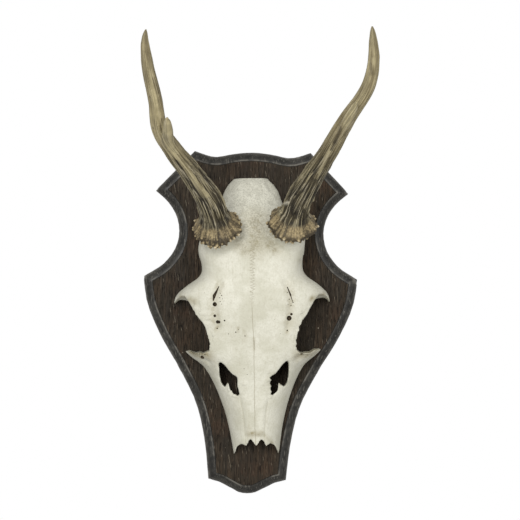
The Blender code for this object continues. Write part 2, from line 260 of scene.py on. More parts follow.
SEAM, given, result = group("seam", {"Distance": 0.0, "Width": 0.3, "Wander": 0.5, "Pitch": 2.0, "Zigzag": 0.0})
TOOTH = 0.9  # half the pitch of the zigzag, in millimetres
scale = sums(SEAM, "DIVIDE", 1000.0, given["Pitch"])
waves = add(SEAM, "TexNoise", {"Vector": given["Place"], "Scale": scale, "Detail": 2.0}).outputs[0]
swing = times(SEAM, sums(SEAM, "SUBTRACT", waves, 0.5), given["Wander"])
height = times(SEAM, add(SEAM, "SeparateXYZ", {0: given["Place"]}).outputs["Z"], 1000.0)
uneven = sums(SEAM, "ADD", height, times(SEAM, waves, 3.0))
teeth = sums(SEAM, "SUBTRACT", sums(SEAM, "PINGPONG", uneven, TOOTH), TOOTH / 2)
swing = sums(SEAM, "ADD", swing, times(SEAM, teeth, given["Zigzag"]))
off = sums(SEAM, "ABSOLUTE", sums(SEAM, "ADD", given["Distance"], swing))
SEAM.links.new(spread(SEAM, off, 0.0, given["Width"], 1.0, 0.0), result)
print("shared effects:", [tree.name for tree in (FIBRES, MOTTLE, PITS, SEAM)])

# %% [markdown]
# Every piece starts as a copy of its solid. The solid's own mesh is loose triangles, so the copy's points
# are merged first. An operator works on all that is selected, and so one helper makes a piece the only
# selected one. Two more read and write all the points at once, which is how the fine relief is carved.

# %% Helpers for pieces
CAD_LOW, CAD_HIGH = (np.array(corner) for corner in cad_box)
MERGE = 0.01 * MM  # points closer than this become one


def pick(piece):
    bpy.ops.object.select_all(action="DESELECT")
    piece.select_set(True)
    bpy.context.view_layer.objects.active = piece


def copy_of(node, name):
    """A merged copy of a solid, as a new piece."""
    piece = bpy.data.objects.new(name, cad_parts[node].data.copy())
    bpy.context.scene.collection.objects.link(piece)
    piece.data.name = name
    piece.data.materials.clear()
    pick(piece)
    bpy.ops.mesh.customdata_custom_splitnormals_clear()
    bpy.ops.object.mode_set(mode="EDIT")
    bpy.ops.mesh.select_all(action="SELECT")
    bpy.ops.mesh.remove_doubles(threshold=MERGE)
    bpy.ops.object.mode_set(mode="OBJECT")
    return piece


def apply(piece, kind, **settings):
    """A modifier added with its settings and applied at once."""
    pick(piece)
    step = piece.modifiers.new(kind.lower(), kind)
    for name, value in settings.items():
        setattr(step, name, value)
    bpy.ops.object.modifier_apply(modifier=step.name)


def read_points(piece):
    """The places and the directions of all points."""
    places = np.empty(len(piece.data.vertices) * 3, np.float32)
    facing = np.empty_like(places)
    piece.data.vertices.foreach_get("co", places)
    piece.data.vertex_normals.foreach_get("vector", facing)
    return places.reshape(-1, 3).astype(float), facing.reshape(-1, 3).astype(float)


def move_points(piece, places):
    """Puts the points in new places, but never beyond the box of the solids."""
    inside = np.clip(places, CAD_LOW, CAD_HIGH)
    piece.data.vertices.foreach_set("co", inside.astype(np.float32).ravel())
    piece.data.update()


def store(piece, **masks):
    """Numbers for each point, which the material reads by their name."""
    for name, values in masks.items():
        kept = piece.data.attributes.new(name, "FLOAT", "POINT")
        kept.data.foreach_set("value", np.asarray(values, np.float32))


def stored(tree, name):
    return add(tree, "Attribute", attribute_name=name, attribute_type="GEOMETRY").outputs["Fac"]


def ease(values, low, high):
    """0 below low, 1 above high, smooth between them."""
    share = np.clip((values - low) / (high - low), 0, 1)
    return share * share * (3 - 2 * share)


def noise_at(places, octaves=2):
    """A smooth random value between about -1 and 1 at each place, the same on each run."""
    return np.array([noise.fractal(place, 1.0, 2.0, octaves) for place in places])


def gap_to(places, knots):
    """The distance from each place to a line through the knots, in millimetres."""
    knots = np.array(knots)
    nearest = np.linalg.norm(places - knots[0], axis=1)
    for start, end in zip(knots, knots[1:]):
        way = end - start
        share = np.clip(((places - start) @ way) / (way @ way), 0, 1)
        nearest = np.minimum(nearest, np.linalg.norm(places - start - share[:, None] * way, axis=1))
    return nearest / MM


# %% [markdown]
# Marks on bone and antler are placed by the pixel where the photograph shows them. A ray from the camera
# through that pixel meets the piece in one point, and the mark belongs there. That keeps each one on the
# surface, from whatever side it is seen.

# %% From a pixel to a piece
MEAN_DEPTH = 1455 * MM  # how far from the camera the skull and the antlers' feet are


def surface_of(piece):
    return BVHTree.FromObject(piece, bpy.context.evaluated_depsgraph_get())


def seen(surface, x, y):
    """The point of a surface that a pixel of the photograph shows, or the nearest one beside its edge."""
    hit = surface.ray_cast(EYE, sight(x, y))[0]
    return hit or surface.find_nearest(EYE + sight(x, y) * MEAN_DEPTH)[0]


def near(places, surface, line, radius):
    """1 on a line of pixels, falling smoothly to 0 at a radius in millimetres."""
    return ease(1 - gap_to(places, [seen(surface, x, y) for x, y in line]) / radius, 0, 1)


def brush(places, surface, strokes):
    """The strongest of several strokes at each place. A stroke is its pixels, radius and strength."""
    strongest = np.zeros(len(places))
    for line, radius, strength in strokes:
        strongest = np.maximum(strongest, strength * near(places, surface, line, radius))
    return strongest


# %% [markdown]
# The shield was cut from a dark stained oak board 15 mm thick, and a moulding was run round its front edge.
# The solid has its outline already, with a moulding of four flats. Its copy is cut into small faces by
# subdividing every long edge, and the points of the moulding are then laid on a true quarter round, by
# their distance from the outline. The big flat faces stay single faces, as they need no more.

# %% Board: finer faces
LONGEST_EDGE = 1.4 * MM
board = copy_of("board", "oak_shield")
bpy.ops.object.mode_set(mode="EDIT")
bpy.ops.mesh.select_all(action="SELECT")
bpy.ops.mesh.dissolve_limited(angle_limit=math.radians(0.5))
bpy.ops.mesh.select_mode(type="EDGE")
bpy.ops.object.mode_set(mode="OBJECT")
back = max(board.data.polygons, key=lambda face: face.normal.y * face.area)
outline = np.array([board.data.vertices[i].co for i in back.vertices])[:, [0, 2]]
outline = np.vstack((outline, outline[:1]))

bpy.ops.object.mode_set(mode="EDIT")
while True:
    shape = bmesh.from_edit_mesh(board.data)
    for edge in shape.edges:
        edge.select_set(edge.calc_length() > LONGEST_EDGE)
    if not any(edge.select for edge in shape.edges):
        break
    bmesh.update_edit_mesh(board.data)
    bpy.ops.mesh.subdivide(number_cuts=1)
bpy.ops.object.mode_set(mode="OBJECT")

BAND = 5.2  # width of the quarter round, in millimetres
RISE = 5.0  # and its height
STEP = 1.2  # depth of the small step between the quarter round and the flat field
places, facing = read_points(board)
inset = gap_to(places[:, [0, 2]], outline)
front_y = places[:, 1].min()
rim_y = front_y + (STEP + RISE) * MM
on_round = (inset > 0.01) & (inset < BAND + 0.05) & (places[:, 1] > front_y + 0.1 * MM) & (places[:, 1] < -MM)
share = np.clip(inset[on_round] / BAND, 0, 1)
places[on_round, 1] = rim_y - RISE * MM * np.sqrt(1 - (1 - share) ** 2)
move_points(board, places)
print("board:", len(board.data.polygons), "faces,", int(on_round.sum()), "points on the moulding")

# %% [markdown]
# An old shield is knocked and rubbed. Each knock pushes the points near one place of the edge inwards, and
# a slow random wave keeps the moulding from being perfectly even, as it was cut by hand. Two corners at
# the right have lost more wood than the others.

# %% Board: knocks and wear
KNOCKS = 60
WORN_CORNERS = ((64.5, 26.9, 3.6, 1.0), (58.2, 78.7, 3.0, 0.7), (-64.5, 26.9, 2.6, 0.5), (-58.2, 78.7, 2.4, 0.5))
rng = np.random.default_rng(4)
near_rim = (inset < 2.5) & (places[:, 1] < -MM)
depth = np.zeros(len(places))
edge_places = places[near_rim & (inset < 0.6) & (places[:, 1] < rim_y + 0.5 * MM)]
for place in edge_places[rng.integers(0, len(edge_places), KNOCKS)]:
    radius = rng.uniform(0.9, 2.8)
    depth = np.maximum(depth, rng.uniform(0.12, 0.45) * ease(1 - gap_to(places, [place]) / radius, 0, 1))
for x, z, radius, bite in WORN_CORNERS:
    gap = gap_to(places[:, [0, 2]], [(x * MM, z * MM)])
    depth = np.maximum(depth, bite * ease(1 - gap / radius, 0, 1))
depth += 0.09 * (1 + noise_at(places * 130)) * ease(1 - inset / 2.5, 0, 1)
depth = np.where(near_rim, depth, 0)
inwards = np.zeros_like(places)
inwards[:, [0, 2]] = outline.mean(axis=0) - places[:, [0, 2]]
inwards /= np.linalg.norm(inwards, axis=1)[:, None]
places += inwards * depth[:, None] * MM
carved = (inset > 0.3) & (inset < 5) & (places[:, 1] < rim_y)
places[carved, 1] += 0.14 * MM * (1 + noise_at(places[carved] * 300))
move_points(board, places)
store(board, inset=inset, knock=np.clip(depth / 0.35, 0, 1))
print("knocks reach", round(depth.max(), 2), "mm")

# %% [markdown]
# Stained oak is two browns that run in streaks along the grain, with open pores that hold black stain, and
# pale scratches. The moulding was painted black, and the paint is rubbed grey where hands and walls touched
# it; that grey on the outer arris is also painted sheen. A thin painted highlight runs along the moulding's
# inner edge, and painted shade darkens the small step up to the field. So the board gets two materials, and
# each face takes the one for its place.

# %% Board: materials
oak, tree, shader, place = new_material("stained_oak", 0.07)
wide = use(tree, FIBRES, place, Width=4.5, Length=60.0, Low=0.38, High=0.62)
streak = use(tree, FIBRES, place, Width=1.6, Length=30.0, Low=0.44, High=0.60)
fine = use(tree, FIBRES, place, Width=0.85, Length=13.0, Low=0.46, High=0.60)
pores = use(tree, FIBRES, place, Width=0.6, Length=6.0, Low=0.56, High=0.63)
dusty = use(tree, FIBRES, place, Width=0.8, Length=8.0, Low=0.60, High=0.70)
slant = {"Vector": place, "Rotation": (0, math.radians(9), 0), "Location": (0.3, 0, 0)}
scratches = use(tree, FIBRES, add(tree, "Mapping", slant).outputs[0], Width=0.6, Length=10.0, Low=0.655, High=0.69)
patches = use(tree, MOTTLE, place, Size=26.0, Low=0.42, High=0.66)
red = use(tree, MOTTLE, place, Size=20.0, Low=0.50, High=0.64)
specks = use(tree, PITS, place, Spacing=8.0, Radius=0.07, Share=0.35)
brown = blend(tree, wide, (0.032, 0.020, 0.012), (0.054, 0.031, 0.015))
brown = coats(tree, brown, (
    (red, 0.70, (0.084, 0.036, 0.015)),
    (streak, 0.65, (0.092, 0.052, 0.025)),
    (fine, 0.65, (0.018, 0.012, 0.007)),
    (patches, 0.55, (0.029, 0.023, 0.016)),
    (spread(tree, stored(tree, "inset"), 5.5, 11.0, 0.6, 0.0), 1.0, (0.023, 0.021, 0.016)),
    (pores, 0.80, (0.007, 0.005, 0.004)),
    (dusty, 0.28, (0.15, 0.118, 0.082)),
    (scratches, 0.65, (0.27, 0.23, 0.17)),
    (specks, 0.80, (0.36, 0.32, 0.25)),
))
height = sums(tree, "SUBTRACT", times(tree, fine, -0.4), pores)
finish_material(tree, shader, brown, spread(tree, fine, 0, 1, 0.46, 0.62), height, 0.18)

black, tree, shader, place = new_material("blackened_moulding", 0.24)
inset_here = stored(tree, "inset")
worn = use(tree, MOTTLE, place, Size=3.5, Low=0.36, High=0.76)
thin = use(tree, MOTTLE, place, Size=14.0, Low=0.42, High=0.66)
scuffs = use(tree, FIBRES, place, Width=0.7, Length=5.0, Low=0.57, High=0.66)
# The outer arris: rubbed paint, and painted sheen as well.
arris_wear_and_sheen = spread(tree, inset_here, 0.0, 1.5, 1.0, 0.0)
# A painted highlight along the inner edge of the moulding.
painted_inner_highlight = times(tree, spread(tree, inset_here, 4.0, 4.6), spread(tree, inset_here, 5.0, 5.2, 1.0, 0.0))
# Painted shade in the small step up to the field.
painted_step_shade = spread(tree, inset_here, 5.0, 5.3)
edges = times(tree, arris_wear_and_sheen, spread(tree, worn, 0, 1, 0.35, 1.0))
edges = sums(tree, "MAXIMUM", edges, times(tree, painted_inner_highlight, spread(tree, thin, 0, 1, 0.1, 1.0)))
edges = sums(tree, "MAXIMUM", edges, stored(tree, "knock"))
colour = blend(tree, worn, (0.016, 0.015, 0.013), (0.034, 0.032, 0.027))
colour = coats(tree, colour, (
    (thin, 0.35, (0.050, 0.047, 0.039)),
    (scuffs, 0.50, (0.16, 0.15, 0.125)),
    # Rubbed paint and knocks, with painted sheen on the arris and the painted highlight at the inner edge.
    (edges, 0.62, (0.20, 0.185, 0.155)),
    # Painted shade in the step.
    (painted_step_shade, 0.80, (0.008, 0.008, 0.007)),
))
height = sums(tree, "ADD", scuffs, worn)
finish_material(tree, shader, colour, spread(tree, worn, 0, 1, 0.36, 0.60), height, 0.12)

FIELD_AREA = 5000 * MM * MM
board.data.materials.append(oak)
board.data.materials.append(black)
for face in board.data.polygons:
    face.material_index = 0 if face.area > FIELD_AREA or face.center.y > -0.5 * MM else 1
pick(board)
bpy.ops.object.shade_smooth_by_angle(angle=math.radians(35))
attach(board, "root")
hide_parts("board")

# %% [markdown]
# The skull's copy is turned into an even skin of small squares with a voxel remesh, like clay of one grain,
# so that it can be carved anywhere. The solid's facets are then smoothed away on the domes only: a vertex
# group keeps the Smooth modifier off the sharp rims of the eye sockets, gaps and broken ends.

# %% Skull: an even skin
SKIN = 0.80 * MM
SHARP = math.radians(24)  # an edge bent by more than this belongs to a rim
RIM_SHARE = 0.12  # how much of the smoothing a rim still gets
skull = copy_of("skull", "roe_skull")
apply(skull, "REMESH", mode="VOXEL", voxel_size=SKIN)
shape = bmesh.new()
shape.from_mesh(skull.data)
rims = set()
for edge in shape.edges:
    if edge.calc_face_angle(0) > SHARP:
        rims.update(vert.index for vert in edge.verts)
shape.free()
domes = skull.vertex_groups.new(name="domes")
domes.add([i for i in range(len(skull.data.vertices)) if i not in rims], 1.0, "REPLACE")
domes.add(list(rims), RIM_SHARE, "REPLACE")
apply(skull, "SMOOTH", factor=0.5, iterations=24, vertex_group="domes")
skull_skin = surface_of(skull)
print("skull:", len(skull.data.vertices), "points, of which", len(rims), "on rims")

# %% [markdown]
# Three seams show on the front of the skull, where two bones have grown together: one down the middle, and
# one on each side of the nose bones. Each seam is given by a few pixels that it runs through, and each
# point of the skin stores how far to the side of it it lies.

# %% Skull: seams
MIDLINE = ((253, 182), (252, 215), (252.3, 250), (252.6, 275), (252, 300), (252.5, 320), (254, 347), (254.3, 385),
           (255.3, 440))
NASAL_LEFT = ((239.8, 397.4), (242.7, 410), (244.6, 426), (245.4, 438))
NASAL_RIGHT = ((268.8, 398.3), (266.3, 410), (265.0, 424), (264.2, 438))


def beside(places, line):
    """How far to the side of a seam each place lies, in millimetres."""
    knots = np.array([seen(skull_skin, x, y) for x, y in reversed(line)])
    return (places[:, 0] - np.interp(places[:, 2], knots[:, 2], knots[:, 0])) / MM


places, facing = read_points(skull)
front = ease(-facing[:, 1], 0.0, 0.4)
midline = beside(places, MIDLINE)
left_seam = beside(places, NASAL_LEFT)
right_seam = beside(places, NASAL_RIGHT)
nose_top = seen(skull_skin, 254, 396).z / MM
on_nose = ease(nose_top - places[:, 2] / MM, -2, 3)
print("the nose bones start", round(nose_top), "mm above the board's middle")

# %% [markdown]
# Now the carving. Each line of this cell is a field: a height for every point of the skin. The midline is a
# shallow furrow, the nose bones swell on both sides of it, a groove leads down from each brow to its holes,
# and the bone between the burrs is rough like pumice. The fields are added up, and the points are moved in
# or out along the surface.

# %% Skull: relief
GROOVES = (
    (((219.5, 283), (216, 292), (214, 300), (215, 315), (218, 327)), 3.6, 1.0),
    (((286, 283), (290, 291), (292, 302), (290.5, 316), (288, 328)), 3.6, 1.0),
    (((207, 362),), 4.5, 1.0),
    (((299, 358),), 5.0, 1.0),
    (((247, 437), (262, 437)), 2.5, 0.5),
)
ROUGH = (
    (((256, 222), (256, 244)), 10, 1.0),
    (((240, 240), (247, 250)), 6, 0.9),
    (((268, 236), (272, 248)), 6, 0.9),
    (((192, 355), (206, 353)), 4, 0.8),
    (((301, 351), (313, 348)), 4, 0.8),
)
midline_furrow = np.exp(-((midline / 0.8) ** 2)) * front
nose_swell = on_nose * front * np.exp(-(((np.abs(midline) - 4.2) / 3.0) ** 2))
nose_furrows = on_nose * front * (np.exp(-((left_seam / 0.8) ** 2)) + np.exp(-((right_seam / 0.8) ** 2)))
rough = brush(places, skull_skin, ROUGH)
relief = 0.45 * nose_swell - 0.22 * midline_furrow - 0.30 * nose_furrows
relief -= 1.0 * brush(places, skull_skin, GROOVES)
relief += 0.55 * rough * noise_at(places * 650, 3)
relief += 0.22 * front * noise_at(places * 80)
relief += 0.06 * noise_at(places * 450)
print("relief from", round(relief.min(), 2), "to", round(relief.max(), 2), "mm")

# %% [markdown]
# Thin bone breaks. The lower rims of the eye sockets, the ends of their bars and the tips of the gaps are
# ragged on the real skull, and a splinter stands up in each gap. The solid has clean edges there. So the
# points near such an edge are shaken by a noise pattern, and a few edges are drawn a little up, down or
# aside. Both are measured as seen from the front, so that an edge moves through its whole thickness.

# %% Skull: broken edges
RAGGED = (
    (((187, 304), (196, 311), (201, 321), (206, 334), (207, 346)), 3.0),
    (((307, 303), (302, 312), (299, 326), (298, 340)), 3.0),
    (((236, 398), (228, 388)), 2.2),
    (((270, 398), (277, 387)), 2.2),
    (((190, 351), (204, 351)), 2.2),
    (((302, 350), (314, 348)), 2.2),
    (((222, 190), (221, 204)), 1.8),
)
# The pixels, the radius, and how far the edge is drawn right, back and up, in millimetres
SHIFTS = (
    (((301, 349.5), (309, 349.5)), 3.6, (0, 0, -1.6)),
    (((319, 348),), 3.2, (0.3, 0, 0.9)),
    (((195, 350.5), (204, 351)), 2.6, (0, 0, -0.9)),
    (((308, 306.5),), 1.8, (1.3, 0, 0)),
    (((229, 179),), 3.4, (1.2, 0, -0.7)),
    (((221.5, 192),), 1.8, (-1.3, 0, 0)),
    (((222.5, 205),), 4.5, (-0.6, 0, 0)),
    (((268.5, 183), (272, 189)), 3.4, (-1.2, 0, -0.3)),
    (((228.3, 387.5),), 1.7, (-0.4, 0, 2.2)),
    (((279.8, 387.5),), 1.7, (-0.5, 0, 2.4)),
    (((238.4, 394.5),), 2.3, (0.3, 0, -1.4)),
    (((272.4, 394.3),), 2.3, (-1.1, 0, -1.3)),
)
FRONT_VIEW = np.array((1, 0, 1))  # leaves out the depth, so that an edge is changed all through


def near_edge(line, radius):
    """1 on a line of pixels as seen from the front, falling smoothly to 0 at a radius in millimetres."""
    knots = [np.array(seen(skull_skin, x, y)) * FRONT_VIEW for x, y in line]
    return ease(1 - gap_to(places * FRONT_VIEW, knots) / radius, 0, 1)


flat = places * FRONT_VIEW
ragged = np.column_stack((1.5 * noise_at(flat * 420), 0 * relief, noise_at(flat * 420 + 9)))
ragged *= sum(near_edge(line, radius) for line, radius in RAGGED)[:, None]
shift = sum(near_edge(line, radius)[:, None] * np.array(way) for line, radius, way in SHIFTS)
move_points(skull, places + (facing * relief[:, None] + ragged + shift) * MM)
OUT_OF_REACH = 400  # added to a seam's distance where the seam doesn't run
far = OUT_OF_REACH * (1 - on_nose)
store(skull, midline=midline, nasal_left=left_seam + far, nasal_right=right_seam + far, rough=rough)
print("edges moved by up to", round(np.abs(ragged + shift).max(), 1), "mm")

# %% [markdown]
# Small holes let blood vessels and nerves through the brow. They are real holes here: a stretched sphere is
# set into the bone at each one, and a slit is a row of such spheres. All of them are joined into one
# cutter, melted into one skin, and one Boolean cuts them. The cutter carries a dark material of its own,
# which the Boolean leaves on the walls of the holes: painted shade inside the holes, mottled dark brown.

# %% Skull: holes
# The pixel and the radius of each hole in millimetres
HOLES = (
    (214.8, 304.3, 1.35), (214.8, 315.8, 0.85), (217.6, 321.9, 1.05), (218.9, 322.0, 0.95), (224.6, 320.6, 0.5),
    (217.3, 328.4, 0.45), (220.3, 293.2, 0.25), (221.6, 295.5, 0.35), (219.6, 297.8, 0.3), (222.6, 298.9, 0.25),
    (220.2, 301.5, 0.3), (224.0, 301.0, 0.2), (221.6, 304.0, 0.25), (235.8, 332.2, 0.4), (245.0, 336.0, 0.35),
    (228.4, 334.0, 0.3), (202.4, 357.4, 1.25), (204.8, 354.4, 0.4), (199.6, 353.9, 0.3), (289.2, 299.3, 0.35),
    (287.4, 292.5, 0.25), (293.0, 302.6, 0.35), (291.0, 305.5, 0.35), (288.0, 304.5, 0.25), (291.4, 314.2, 0.8),
    (289.1, 318.2, 1.55), (287.3, 330.4, 0.45), (301.6, 354.4, 0.9), (303.6, 352.6, 0.5), (306.5, 351.0, 0.3),
    (296.0, 349.0, 0.25), (244.0, 368.8, 0.25), (247.2, 374.6, 0.25), (238.4, 329.6, 0.25), (231.0, 352.0, 0.2),
)
# The two ends of each slit and the radius at each end
SLITS = (
    ((218.9, 286.4), (216.9, 290.6), 0.25, 0.55),
    ((216.9, 290.6), (214.3, 295.6), 0.55, 0.95),
    ((214.3, 295.6), (213.3, 300.4), 0.95, 0.40),
    ((287.4, 287.2), (290.6, 295.2), 0.30, 0.55),
    ((290.9, 296.2), (292.6, 301.4), 0.30, 0.22),
    ((254.0, 340.5), (254.3, 349.0), 0.18, 0.14),
)
SLIT_STEPS = 9
DRILL_DEPTH = 1.9  # a drill is this much longer than wide
DRILL_GRAIN = 0.15 * MM
# A dark brown material for the walls of the holes: painted shade, mottled.
hole_wall_painted_shade, tree, shader, place = new_material("bone_hole_painted_shade", 0.2)
hole_mottle = use(tree, MOTTLE, place, Size=1.2)
colour = blend(tree, hole_mottle, (0.030, 0.022, 0.013), (0.120, 0.090, 0.055))
finish_material(tree, shader, colour, spread(tree, hole_mottle, 0, 1, 0.7, 0.9), hole_mottle, 0.1)
bone, tree, shader, place = new_material("bone", 0.35)
skull.data.materials.append(bone)
skull.data.materials.append(hole_wall_painted_shade)

spots = list(HOLES)
for (x0, y0), (x1, y1), first, last in SLITS:
    for i in range(SLIT_STEPS + 1):
        share = i / SLIT_STEPS
        spots.append((x0 + (x1 - x0) * share, y0 + (y1 - y0) * share, first + (last - first) * share))
skull_skin = surface_of(skull)
drills = []
for x, y, radius in spots:
    bpy.ops.mesh.primitive_ico_sphere_add(subdivisions=2, radius=radius * MM, location=seen(skull_skin, x, y))
    drill = bpy.context.object
    drill.rotation_euler = sight(x, y).to_track_quat("Z", "Y").to_euler()
    drill.scale = (1, 1, DRILL_DEPTH)
    drill.data.materials.append(hole_wall_painted_shade)
    drills.append(drill)
pick(drills[0])
for drill in drills:
    drill.select_set(True)
bpy.ops.object.join()
cutter = bpy.context.object
bpy.ops.object.transform_apply(location=True, rotation=True, scale=True)
apply(cutter, "REMESH", mode="VOXEL", voxel_size=DRILL_GRAIN)
apply(skull, "BOOLEAN", object=cutter, operation="DIFFERENCE", solver="EXACT", material_mode="TRANSFER")
bpy.data.objects.remove(cutter)
print(len(drills), "drills; the skull has", len(skull.data.polygons), "faces")

# %% [markdown]
# Grease and dirt have stained the bone where it is rough: between the burrs, at the tip of the nose
# and round the holes. Painted shade is brushed on in the same way on the inner faces of the hooked eye
# bars and in the hollows below the broken stubs, and the dark patches on the stubs are partly dirt and
# partly painted shade. Each mark is brushed on along its pixels, and all that faces the board gets
# painted shade too. The crown of the head gets a mask of its own, as its bone is paler and speckled.

# %% Skull: stains and painted shade
STAINS_AND_SHADE = (
    (((256, 221), (256, 243)), 15, 0.55),
    (((238, 243), (248, 250)), 7, 0.55),
    (((266, 243), (275, 249)), 7, 0.55),
    (((249, 434), (261, 434)), 3.5, 0.85),
    # These two are painted shade on the inner faces of the hooked eye bars.
    (((181, 297), (177, 305)), 3.5, 0.8),
    (((323, 295), (327, 303)), 3.5, 0.8),
    # These two are partly dirt and partly painted shade on and round the broken stubs below the eyes.
    (((191, 353), (199, 354.5), (208, 356)), 6.5, 1.0),
    (((299, 355), (307, 352.5), (315, 349)), 6.5, 1.0),
    (((219, 287), (215, 300), (215, 322)), 6.0, 0.42),
    (((288, 287), (291, 302), (289, 322)), 5.5, 0.38),
    (((288, 323), (287.5, 332)), 3.0, 0.5),
    (((217.5, 324), (217, 330)), 3.0, 0.5),
    (((245, 341),), 3.5, 0.35),
    (((254, 338), (254, 350)), 1.4, 0.6),
    (((244, 330), (246, 338)), 1.6, 0.45),
    (((238, 328), (238, 331)), 1.5, 0.45),
    # These two are painted shade in the hollows below the stubs.
    (((297, 360),), 3.5, 0.40),
    (((205, 363),), 3.5, 0.30),
    (((231, 452), (240, 445), (247, 448)), 2.0, 0.35),
    (((265, 447), (272, 443), (277, 450)), 2.2, 0.45),
)
places, facing = read_points(skull)
skull_skin = surface_of(skull)
# Real stains and painted shade together.
stain = brush(places, skull_skin, STAINS_AND_SHADE)
# Painted shade on all that faces the board.
stain = np.maximum(stain, 0.85 * ease(facing[:, 1], -0.15, 0.45))
crown = ease(places[:, 2], seen(skull_skin, 252, 243).z, seen(skull_skin, 252, 225).z)
store(skull, stain=stain, crown=crown)
print("stained:", round(100 * (stain > 0.5).mean()), "% of the skull's points")

# %% [markdown]
# Bleached bone is cream white, but never even. Grey and olive clouds of several sizes lie over one another,
# with thin veins and pits, and the stains and painted shade on top. The seams are drawn by the seam effect,
# from the distances that were stored on the mesh. The lines of the forehead zigzag, and those below the eyes
# run straight.

# %% Skull: bone material
tree = bone.node_tree
clouds = use(tree, MOTTLE, place, Size=16.0, Low=0.38, High=0.66)
small = use(tree, MOTTLE, place, Size=3.0, Low=0.45, High=0.72)
grain = use(tree, MOTTLE, place, Size=0.9, Low=0.42, High=0.68)
patchy = use(tree, MOTTLE, place, Size=4.5, Low=0.46, High=0.62)
veins = use(tree, FIBRES, place, Width=1.1, Length=9.0, Low=0.56, High=0.70)
pits = use(tree, PITS, place, Spacing=4.5, Radius=0.07, Share=0.30)
pores = use(tree, PITS, place, Spacing=1.5, Radius=0.15, Share=0.30)
midline_here = stored(tree, "midline")
suture = use(tree, SEAM, place, Distance=midline_here, Width=0.60, Wander=1.6, Pitch=2.2, Zigzag=2.8)
straight = use(tree, SEAM, place, Distance=midline_here, Width=0.30, Wander=0.8, Pitch=6.0)
nasal = sums(tree, "MAXIMUM", *(
    use(tree, SEAM, place, Distance=stored(tree, name), Width=0.6, Wander=1.0, Pitch=7.0)
    for name in ("nasal_left", "nasal_right")
))
up = add(tree, "SeparateXYZ", {0: place}).outputs["Z"]
BROW = (8 * MM, 20 * MM)  # between these heights the suture of the forehead turns straight
BURRS = (44 * MM, 52 * MM)  # and between these it ends
on_forehead = times(tree, spread(tree, up, *BROW), spread(tree, up, *BURRS, 1.0, 0.0))
suture = times(tree, suture, on_forehead)
straight = times(tree, straight, spread(tree, up, *BROW, 1.0, 0.0))
seams = sums(tree, "MAXIMUM", suture, straight)
crown_here = stored(tree, "crown")
rough_here = stored(tree, "rough")
# Real stains and painted shade, from the stored mask.
stain_here = times(tree, stored(tree, "stain"), spread(tree, small, 0, 1, 0.65, 1.3))
speckled = sums(tree, "MAXIMUM", times(tree, crown_here, 0.6), stain_here)
cream = blend(tree, clouds, (0.655, 0.640, 0.540), (0.545, 0.530, 0.425))
cream = coats(tree, cream, (
    (small, 0.36, (0.485, 0.470, 0.370)),
    (grain, 0.30, (0.460, 0.435, 0.335)),
    (veins, 0.22, (0.420, 0.385, 0.285)),
    (crown_here, 0.60, (0.760, 0.745, 0.630)),
    (times(tree, crown_here, patchy), 0.45, (0.470, 0.455, 0.370)),
    (times(tree, crown_here, grain), 0.55, (0.330, 0.315, 0.250)),
    # Stains and painted shade in one colour.
    (stain_here, 1.0, (0.30, 0.26, 0.155)),
    (times(tree, rough_here, grain), 0.45, (0.22, 0.19, 0.12)),
    (seams, 0.65, (0.30, 0.26, 0.17)),
    (nasal, 0.32, (0.36, 0.33, 0.23)),
    (pits, 0.55, (0.20, 0.16, 0.10)),
    (times(tree, pores, speckled), 0.70, (0.17, 0.14, 0.09)),
))
hollows = sums(tree, "ADD", seams, sums(tree, "ADD", pits, pores))
height = sums(tree, "SUBTRACT", times(tree, grain, 0.5), hollows)
finish_material(tree, shader, cream, spread(tree, small, 0, 1, 0.50, 0.68), height, 0.16)
pick(skull)
bpy.ops.object.shade_smooth_by_angle(angle=math.radians(60))
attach(skull, "root")
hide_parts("skull")

# %% [markdown]
# An antler is a bent, tapering rod with a crown of pearls at its foot. Its middle line is drawn as a smooth
# curve through a few points, in the frame of the skull, and the curve's round bevel makes the rod, with a
# radius at each point. The foot of each antler stands on a bone stub, which leans out by a little.

# %% Antlers: middle lines
SEAT = Matrix.Translation(Vector((-0.5, -15.3, 86.5)) * MM) @ Matrix.Rotation(math.radians(-1.87), 4, "Y")
TO_SEAT = np.array(SEAT.inverted())
BEAM = 8.2  # radius of the beam above the burr, in millimetres
BURR = 14.6
SKIRT = 13  # the burr flares out of the beam over this length
LEAN = 0.165  # of the bone stubs, out to the side
STEPS = 300
# The path and the tine go out to the side, forward and up, and the path starts at the antler's foot
ANTLERS = {
    "left": {
        "out": -1,
        "foot": (-20.1, -40.0, -31.2),
        "path": ((0, 0, 0), (4.9, 18.9, 18.4), (13.5, 33.6, 31.8), (23.4, 48.1, 45.0), (30.4, 58.9, 56.4),
                 (32.3, 69.8, 72.0), (36.1, 82.8, 93.2), (36.7, 89.0, 105.9), (36.1, 90.4, 109.6)),
        "tine": (-0.02, 0.91, 0.41),
        "tine_place": 0.51,
    },
    "right": {
        "out": 1,
        "foot": (23.1, -40.0, -29.8),
        "path": ((0, 0, 0), (4.6, 16.3, 15.7), (10.9, 27.5, 26.2), (21.6, 44.7, 42.4), (30.9, 59.8, 58.4),
                 (43.8, 76.8, 79.4), (45.6, 83.1, 90.0), (45.2, 88.5, 100.5), (44.7, 91.5, 107.9)),
        "tine": (0.26, 0.85, 0.45),
        "tine_place": 0.54,
    },
}


